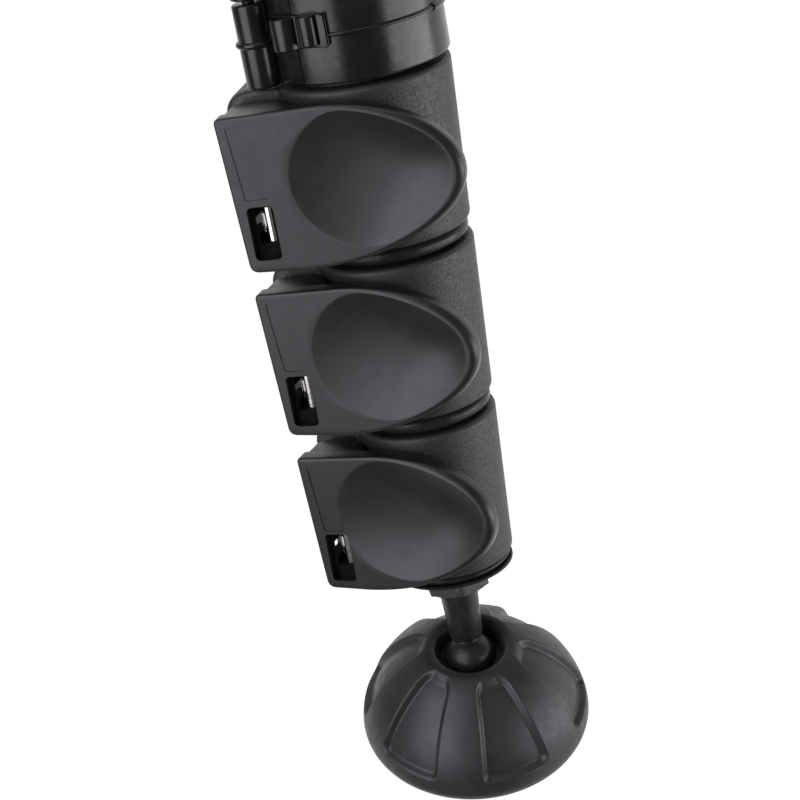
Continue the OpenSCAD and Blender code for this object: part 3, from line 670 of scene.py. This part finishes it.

# near-black rough plastic for the faces deep in the window: painted shade for the window's shadowed
# depth
window_painted_shade = finish("rough_painted_shade_window", (0.004, 0.004, 0.004), 0.8, 0.1)
shades(window_painted_shade, lumps(window_painted_shade, 2), (0.003, 0.003, 0.003), (0.005, 0.005, 0.005))
relief(window_painted_shade, lumps(window_painted_shade, 0.3), 0.02)

# plate: shares of its length and height that the bows take, and the rolled edge of its face
top_bow, low_bow, tip_share = 0.585, 0.73, 0.48
left_roll, tip_roll, roll_from, roll_run, back_round = 0.8, 2.0, 0.4, 0.5, 0.5
plate_columns, dish_rows, flat_rows = 420, 26, 7
# dish: an oval that the plate's edge cuts off, deepest at a shift from its centre, and the powers
# that shape its rim and its floor
dish_wide, dish_tall, dish_deep, dish_lip = 20.1, 17.9, 2.6, 0.15
dish_back, dish_level, dish_shift = 22.3, 0.452, Vector((5.5, -1.0))
dish_corner, dish_bend, dish_flare = 24, 2.2, 1.06
# heel, window, the room for the bolt behind it, and panel
heel_slant, heel_fall, heel_in, heel_edge = 1.7, 0.5, 0.1, 0.4
heel_top_corner, heel_low_corner = 1.5, 2.2
cam_start, cam_steps, cam_root = math.radians(8), 24, 0.98
window_w, window_h, window_deep, window_corner = 6.7, 13.6, 2.25, 1.5
window_side, window_down, slot_h, eye_room, swing_r = 0.95, 1.3, 9.0, 3.1, 2.15
panel_w, panel_h, panel_slant, panel_drop, panel_sunk = 5.8, 18.4, 1.5, 2.8, 0.25
panel_side, panel_round = 1.2, 0.6
inside_deep, inside_fit = 0.1, 0.05


def smooth_step(x):
    """0 below 0, 1 above 1, and an even bend between."""
    x = min(1, max(0, x))
    return x * x * (3 - 2 * x)


def spaced(points, count):
    """A closed outline as points at even spacing."""
    ends = [Vector(p) for p in points] + [Vector(points[0])]
    lengths = [0]
    for a, b in zip(ends, ends[1:]):
        lengths.append(lengths[-1] + (b - a).length)
    out, k = [], 0
    for j in range(count):
        at = lengths[-1] * j / count
        while lengths[k + 1] < at:
            k += 1
        share = (at - lengths[k]) / max(lengths[k + 1] - lengths[k], 1e-9)
        out.append(ends[k].lerp(ends[k + 1], share))
    return out


def lever_plate(left, tip, height, thick):
    """Plate of a lever: X along it, Y from the face at 0 to the back, Z down from the top edge."""
    run, up, arc = tip - left, tip_share * height, quarter(30)
    corners = [(left, -heel_fall, heel_top_corner)]
    corners += [(tip - top_bow * run * (1 - math.sin(t)), up * (math.cos(t) - 1), 0) for t in arc]
    corners += [(tip - low_bow * run * (1 - math.cos(t)), -up - (height - up) * math.sin(t), 0)
                for t in arc[1:]]
    corners.append((left + heel_slant, -height + heel_fall, heel_low_corner))
    outline = spaced(eased(corners), plate_columns)
    inward, rolls = [], []
    for k, p in enumerate(outline):
        along = (outline[(k + 1) % len(outline)] - outline[k - 1]).normalized()
        inward.append(Vector((along.y, -along.x)))
        share = smooth_step(((p.x - left) / run - roll_from) / roll_run)
        rolls.append(left_roll + (tip_roll - left_roll) * share)
    centre = Vector((tip - dish_back, -dish_level * height))

    edge, rims = [], []
    for p, n, roll in zip(outline, inward, rolls):
        edge.append(p + n * roll)
        ray = edge[-1] - centre
        way = ray.normalized()
        oval = 1 / math.hypot(way.x / dish_wide, way.y / dish_tall)
        edge_cut = ray.length - dish_lip
        reach = (oval ** -dish_corner + edge_cut ** -dish_corner) ** (-1 / dish_corner)
        rims.append(reach / ray.length)
    rings = []
    for k in range(dish_rows + 1):
        q = math.sin(math.pi / 2 * k / dish_rows)
        deep = centre + dish_shift * (1 - q)
        floor_at = [deep + (p - centre) * rim * q for p, rim in zip(edge, rims)]
        rings.append([(p.x, dish_deep * (1 - q ** dish_bend) ** dish_flare, p.y) for p in floor_at])
    for k in range(1, flat_rows):
        flat_at = [centre + (p - centre) * (rim + (1 - rim) * k / flat_rows)
                   for p, rim in zip(edge, rims)]
        rings.append([(p.x, 0, p.y) for p in flat_at])
    for t in quarter(8):
        rolled = [(p + n * roll * (1 - math.sin(t)), roll * (1 - math.cos(t)))
                  for p, n, roll in zip(outline, inward, rolls)]
        rings.append([(p.x, y, p.y) for p, y in rolled])
    for t in quarter(4):
        back = [p + n * back_round * (1 - math.cos(t)) for p, n in zip(outline, inward)]
        rings.append([(p.x, thick - back_round * (1 - math.sin(t)), p.y) for p in back])
    rings.append([(centre.x, thick, centre.y)] * len(outline))
    return loft(rings)


for number in lock_turns:
    low, high = clamp_span(number, "lever")
    pin, bolt_z = clamp_middle(number, "pin"), clamp_middle(number, "bolt").z
    thick, cam_r = pin.y - low.y, high.y - pin.y
    plate = lever_plate(low.x, high.x, high.z - low.z, thick)
    lever = solid(f"lock_{number}_flip_lever", plate, Matrix.Translation((0, low.y, high.z)))
    # cam heel behind the plate, round the pin
    cam_end = math.pi / 2 + math.asin((pin.x - low.x - heel_slant - heel_in) / cam_r)
    cam = [(pin.x + cam_r * math.cos(t), pin.y + cam_r * math.sin(t), 0)
           for t in (cam_start + (cam_end - cam_start) * k / cam_steps for k in range(cam_steps + 1))]
    root_y = pin.y - thick / 4
    heel = eased([(pin.x + cam_r * cam_root, root_y, 0)] + cam + [(cam[-1][0], root_y, 0)])
    heel_low, heel_high = low.z + heel_fall + heel_in, high.z - heel_fall - heel_in
    carve(lever, "UNION", solid("heel", slab(heel, heel_low, heel_high, heel_edge)))
    # sunk panel, window and the slot that the bolt swings in
    to_face = Matrix.Rotation(math.pi / 2, 4, "X")
    panel = eased([(x, z, panel_round) for x, z in (
        (0, 0), (panel_w, 0), (panel_w + panel_slant, -panel_h), (panel_slant, -panel_h))])
    panel_x = pin.x - window_side - window_w / 2 - panel_side
    panel_lay = Matrix.Translation((panel_x, low.y, high.z - panel_drop)) @ to_face
    window = eased([(x * window_w / 2, z * window_h / 2, window_corner)
                    for x, z in ((-1, -1), (1, -1), (1, 1), (-1, 1))])
    window_lay = Matrix.Translation((pin.x - window_side, low.y, bolt_z - window_down)) @ to_face
    room = block((pin.x - eye_room, pin.y - eye_room, bolt_z - slot_h / 2),
                 (pin.x + eye_room, pin.y + eye_room, bolt_z + slot_h / 2))
    swing = block((low.x - cut_past, pin.y - swing_r, bolt_z - swing_r),
                  (pin.x + swing_r, pin.y + cam_r + cut_past, bolt_z + swing_r))
    carve(lever, "DIFFERENCE", solid("panel", slab(panel, -panel_sunk, cut_past, 0), panel_lay),
          solid("window", slab(window, -window_deep, cut_past, 0), window_lay),
          solid("room", room), solid("swing", swing))
    # faces deep in the window take the near-black plastic, as painted shade
    inside = [p.index for p in lever.data.polygons
              if p.center.y > low.y + panel_sunk + inside_deep
              and abs(p.center.x - pin.x + window_side) < window_w / 2 + inside_fit
              and abs(p.center.z - bolt_z + window_down) < window_h / 2 + inside_fit]
    dress(clamped(number, lever), lever_plastic, "lever_plastic", f"lock_{number}_lever", crease=32)
    lever.data.materials.append(window_painted_shade)
    for k in inside:
        lever.data.polygons[k].material_index = 1

# End plug: a turned aluminium plug pressed into the lowest tube, with a thin flange below.
# It is blasted and dyed black, so it looks duller than the tubes.

plug_paint = finish("matt_black_plug", (0.011, 0.011, 0.0112), 0.5, 0.2)
shades(plug_paint, lumps(plug_paint, 5), (0.009, 0.009, 0.0092), (0.013, 0.013, 0.0132))
dullness(plug_paint, lumps(plug_paint, 1.2), 0.45, 0.55)
relief(plug_paint, lumps(plug_paint, 0.3), 0.01)
coat(plug_paint, "foot_plug")

# Foot nut and stem: a phosphated steel jam nut with a round neck, and a turned and blackened stem
# that narrows to the ball. A band of bright polished steel along its lower edge is a painted highlight.

nut_low, nut_high = span("foot_nut")
nut_hex_h, nut_flats, nut_neck_r, rod_r = 3.5, 15.8, 6.2, 4.0
nut_chamfer, nut_turn, nut_edge = 0.4, math.radians(26), 0.3
nut_h = nut_high.z - nut_low.z
nut_neck = ((nut_neck_r, nut_hex_h), (nut_neck_r, nut_h - nut_edge), (nut_neck_r - nut_edge, nut_h))
necked = hex_nut(nut_flats, nut_hex_h, nut_chamfer, rod_r + steel_fit, nut_turn, nut_neck)
foot_nut = solid("foot_jam_nut", necked, Matrix.Translation((0, 0, nut_low.z)))
phosphated = finish("phosphated_steel", (0.04, 0.039, 0.041), 0.5, 0.4, 0.2)
shades(phosphated, lumps(phosphated, 3), (0.034, 0.033, 0.035), (0.047, 0.046, 0.048))
dullness(phosphated, lumps(phosphated, 0.8, 3), 0.42, 0.56)
relief(phosphated, lumps(phosphated, 0.4), 0.008)
dress(foot_nut, phosphated, "blackened_steel", "foot_nut")

stem_low, stem_high = span("foot_stem")
ball_r = stem_high.x
ball_z = stem_low.z + ball_r
rod_chamfer, stem_top_r, stem_end_r, stem_chamfer = 0.6, 5.2, 4.2, 0.5
highlight_band_h, highlight_band_out, neck_r, neck_h, neck_step = 0.5, 0.2, 3.7, 0.9, 0.3
stem_end_z = ball_z + math.sqrt(ball_r ** 2 - neck_r ** 2) + neck_h
ball_start, ball_rows = math.acos(neck_r / ball_r), 40
ball_run = ball_start + math.pi / 2
stem_outline = [
    (0, stem_high.z), (rod_r - rod_chamfer, stem_high.z), (rod_r, stem_high.z - rod_chamfer),
    (rod_r, nut_low.z), (stem_top_r - stem_chamfer, nut_low.z), (stem_top_r, nut_low.z - stem_chamfer),
    (stem_end_r + highlight_band_out, stem_end_z + highlight_band_h), (stem_end_r, stem_end_z),
    (neck_r, stem_end_z - neck_step)]
stem_outline += [(ball_r * math.cos(t), ball_z + ball_r * math.sin(t))
                 for t in (ball_start - ball_run * k / ball_rows for k in range(ball_rows + 1))]
stem = solid("foot_stem_ball", turned(stem_outline))
dress(stem, blackened, "blackened_steel", "foot_stem", crease=30)
# the band at the stem's lower edge gets bright polished steel, painted in as that edge's highlight
stem.data.materials.append(polished)
for face in stem.data.polygons:
    if stem_end_z < face.center.z / MM < stem_end_z + highlight_band_h:
        face.material_index = 1

# Ball seat: a black nylon liner round the ball, a blackened steel cup that the foot is pressed
# over, and a ring that closes the cup. Liner and ring are as dull as the plug.

coat(blackened, "socket_cup")
coat(plug_paint, "ball_liner", "socket_ring")

# Rubber foot: a moulded dome pressed over the socket, with six soft-edged sunk panels, a thick
# rim, and a funnel round the ball. It sits cocked on the ball, as it was left.

foot_rubber = finish("foot_rubber", (0.021, 0.0205, 0.0235), 0.44, 0.45, tint=(0.94, 0.92, 1))
shades(foot_rubber, lumps(foot_rubber, 11), (0.0175, 0.0171, 0.02), (0.0245, 0.024, 0.0272))
dullness(foot_rubber, lumps(foot_rubber, 2.2, 3), 0.38, 0.48)
relief(foot_rubber, lumps(foot_rubber, 0.25, 2), 0.012)

foot_tilt, foot_dir = math.radians(18.8), math.radians(31)
foot_r, foot_h, crown_h, crown_r = 31.2, 22.8, 4.8, 11.7
dome_out, dome_up, sole_edge, sole_round = 1.43, 1.19, 2.1, 1.0
panel_count, panel_turn, panel_deep = 6, 4.5, 1.7
panel_half_low, panel_half_high = math.radians(17.2), math.radians(15.4)
panel_low, panel_high, panel_corner, panel_wall = 6.6, 26.9, 1.8, 1.5
lip_r, wall_r, mouth_r, ring_top = 9.9, 9.2, 8.74, 1.8
# funnel from the crown to the ball: radius, and height from the ball's centre
funnel = ((lip_r + 0.6, crown_h - 0.05), (lip_r, crown_h - 0.3), (wall_r + 0.15, crown_h - 0.9),
          (wall_r, ring_top + 1), (mouth_r, ring_top), (mouth_r, ring_top - 2), (0, ring_top - 2))
foot_columns, foot_rows, slope_step = 600, 110, 0.5


def dome(t):
    """Point (radius, height from the ball's centre) of the dome's side at t from 0 to 90 degrees."""
    t = math.radians(t)
    return (crown_r + (foot_r - crown_r) * math.cos(t) ** dome_out,
            -foot_h + sole_edge + (foot_h + crown_h - sole_edge) * math.sin(t) ** dome_up)


def panel_depth(a, radius, height):
    """How far the surface is sunk at an angle and a height above the sole."""
    pitch = 2 * math.pi / panel_count
    off = abs((a + math.pi / 2 - math.radians(panel_turn) + pitch / 2) % pitch - pitch / 2)
    up = (height - panel_low) / (panel_high - panel_low)
    half = panel_half_low + (panel_half_high - panel_half_low) * min(1, max(0, up))
    across = (off - half) * radius + panel_corner
    along = max(panel_low - height, height - panel_high) + panel_corner
    outside = math.hypot(max(across, 0), max(along, 0)) + min(max(across, along), 0) - panel_corner
    return panel_deep * smooth_step(0.5 - outside / panel_wall)


foot_rings = [hoop(foot_columns, r, -foot_h)
              for r in (0, foot_r / 3, foot_r * 2 / 3, foot_r - sole_round)]
foot_rings += [hoop(foot_columns, foot_r - sole_round * (1 - math.sin(t)),
                    -foot_h + sole_edge * (1 - math.cos(t))) for t in quarter(5)[1:-1]]
angles = [2 * math.pi * k / foot_columns for k in range(foot_columns)]
for k in range(foot_rows + 1):
    t = 90 * k / foot_rows
    radius, z = dome(t)
    before, after = dome(max(0, t - slope_step)), dome(min(90, t + slope_step))
    slope = Vector((after[0] - before[0], after[1] - before[1])).normalized()
    ring = []
    for a in angles:
        sunk = panel_depth(a, radius, z + foot_h)
        r = radius - sunk * slope.y
        ring.append((r * math.cos(a), r * math.sin(a), z + sunk * slope.x))
    foot_rings.append(ring)
foot_rings += [hoop(foot_columns, r, z) for r, z in funnel]
foot_place = (Matrix.Translation((0, 0, ball_z)) @ Matrix.Rotation(foot_dir, 4, "Z")
              @ Matrix.Rotation(foot_tilt, 4, "X"))
foot = solid("rubber_foot_dome", loft(foot_rings), foot_place)
dress(foot, foot_rubber, "foot_rubber", "rubber_foot", crease=50)

# Light: a tall softbox at the left of the camera and a low, wide one at the right, with a dark
# gap between them, and a weak one overhead. Behind the part is a white wall, and on the camera's
# side a dim room.

aim = Vector((0, 0, -0.44))


def softbox(name, azimuth, elevation, distance, width, height, radiance):
    """Area lamp that faces the clamps. Azimuth 0 is in front of the levers, 90 at their right."""
    a, e = math.radians(azimuth), math.radians(elevation)
    back = Vector((math.sin(a) * math.cos(e), -math.cos(a) * math.cos(e), math.sin(e)))
    lamp = bpy.data.lights.new(name, "AREA")
    lamp.shape = "RECTANGLE"
    lamp.size, lamp.size_y = width, height
    lamp.energy = radiance * math.pi * width * height
    box = bpy.data.objects.new(name, lamp)
    box.location = aim + back * distance
    box.rotation_euler = back.to_track_quat("Z", "Y").to_euler()
    bpy.context.scene.collection.objects.link(box)


softbox("left_softbox", azimuth=-26, elevation=15, distance=1.1, width=0.98, height=1.5, radiance=3.1)
softbox("right_softbox", azimuth=92, elevation=-11, distance=1.1, width=1.35, height=0.52, radiance=3.9)
softbox("top_softbox", azimuth=10, elevation=80, distance=1.2, width=0.8, height=0.8, radiance=1.2)

world = bpy.data.worlds.new("studio")
world.use_nodes = True
bpy.context.scene.world = world


def combined(tree, operation, first, second):
    """Two values put together by a math operation."""
    node = tree.nodes.new("ShaderNodeMath")
    node.operation = operation
    tree.links.new(first, node.inputs[0])
    tree.links.new(second, node.inputs[1])
    return node.outputs["Value"]


def seen_share(tree, mirrored=None):
    """1 for rays from the camera and through glass, mirrored or else 1 for mirror rays, else 0."""
    path = tree.nodes.new("ShaderNodeLightPath")
    mirror = path.outputs["Is Glossy Ray"]
    if mirrored:
        mirror = combined(tree, "MULTIPLY", mirror, mirrored)
    straight = combined(tree, "MAXIMUM", path.outputs["Is Camera Ray"],
                        path.outputs["Is Transmission Ray"])
    return combined(tree, "MAXIMUM", straight, mirror)


# light of the room, and how steeply a mirror ray has to point to the back to see the start of the
# white wall and its full white
room_light, wall_start, wall_full = 0.15, 0.15, 0.7
tree = world.node_tree
way = tree.nodes.new("ShaderNodeTexCoord")
split = tree.nodes.new("ShaderNodeSeparateXYZ")
tree.links.new(way.outputs["Generated"], split.inputs["Vector"])
behind = tree.nodes.new("ShaderNodeMapRange")
behind.inputs["From Min"].default_value = wall_start
behind.inputs["From Max"].default_value = wall_full
tree.links.new(split.outputs["Y"], behind.inputs["Value"])
level = tree.nodes.new("ShaderNodeMapRange")
level.inputs["To Min"].default_value = room_light
level.inputs["To Max"].default_value = 1
tree.links.new(seen_share(tree, behind.outputs["Result"]), level.inputs["Value"])
background = tree.nodes["Background"]
background.inputs["Color"].default_value = (1, 1, 1, 1)
tree.links.new(level.outputs["Result"], background.inputs["Strength"])

# Floor: a sheet of white paper, low enough that the leg can hang by its stud with all sections
# drawn out. It glows a little to the camera, so that it runs into the white wall.

floor_drop, floor_half, floor_front = 1.12, 8.0, -0.25
paper_white, paper_glow = 0.8, 0.9
floor_z = cad_box[0].z - floor_drop
floor_mesh = bpy.data.meshes.new("floor")
floor_corners = ((-floor_half, floor_front), (floor_half, floor_front),
                 (floor_half, floor_half), (-floor_half, floor_half))
floor_mesh.from_pydata([(x, y, floor_z) for x, y in floor_corners], [], [(0, 1, 2, 3)])
floor = bpy.data.objects.new("floor", floor_mesh)
bpy.context.scene.collection.objects.link(floor)
paper = bpy.data.materials.new("white_paper")
paper.use_nodes = True
tree = paper.node_tree
tree.nodes.clear()
matt = tree.nodes.new("ShaderNodeBsdfDiffuse")
matt.inputs["Color"].default_value = (paper_white, paper_white, paper_white, 1)
glow = tree.nodes.new("ShaderNodeEmission")
lift = tree.nodes.new("ShaderNodeMath")
lift.operation = "MULTIPLY"
lift.inputs[1].default_value = paper_glow
both = tree.nodes.new("ShaderNodeAddShader")
out = tree.nodes.new("ShaderNodeOutputMaterial")
tree.links.new(seen_share(tree), lift.inputs[0])
tree.links.new(lift.outputs["Value"], glow.inputs["Strength"])
tree.links.new(matt.outputs["BSDF"], both.inputs[0])
tree.links.new(glow.outputs["Emission"], both.inputs[1])
tree.links.new(both.outputs["Shader"], out.inputs["Surface"])
floor_mesh.materials.append(paper)

# Camera: a little to the right of the levers and above the clamps, looking down on them. It is
# rolled so that the leg leans in the picture, as in the photo.

camera_at = Vector((180.45, -495.78, -231.5)) * MM
camera_turn, camera_down, camera_roll = math.radians(20.64), math.radians(21.66), math.radians(10.74)
lens = bpy.data.cameras.new("camera")
lens.lens, lens.sensor_width = 99, 36
lens.clip_start, lens.clip_end = 0.01, 50
camera = bpy.data.objects.new("camera", lens)
camera.matrix_world = (
    Matrix.Translation(camera_at) @ Matrix.Rotation(camera_turn, 4, "Z")
    @ Matrix.Rotation(math.pi / 2 - camera_down, 4, "X") @ Matrix.Rotation(-camera_roll, 4, "Z"))
bpy.context.scene.collection.objects.link(camera)
bpy.context.scene.camera = camera
bpy.context.scene.view_settings.view_transform = "Standard"
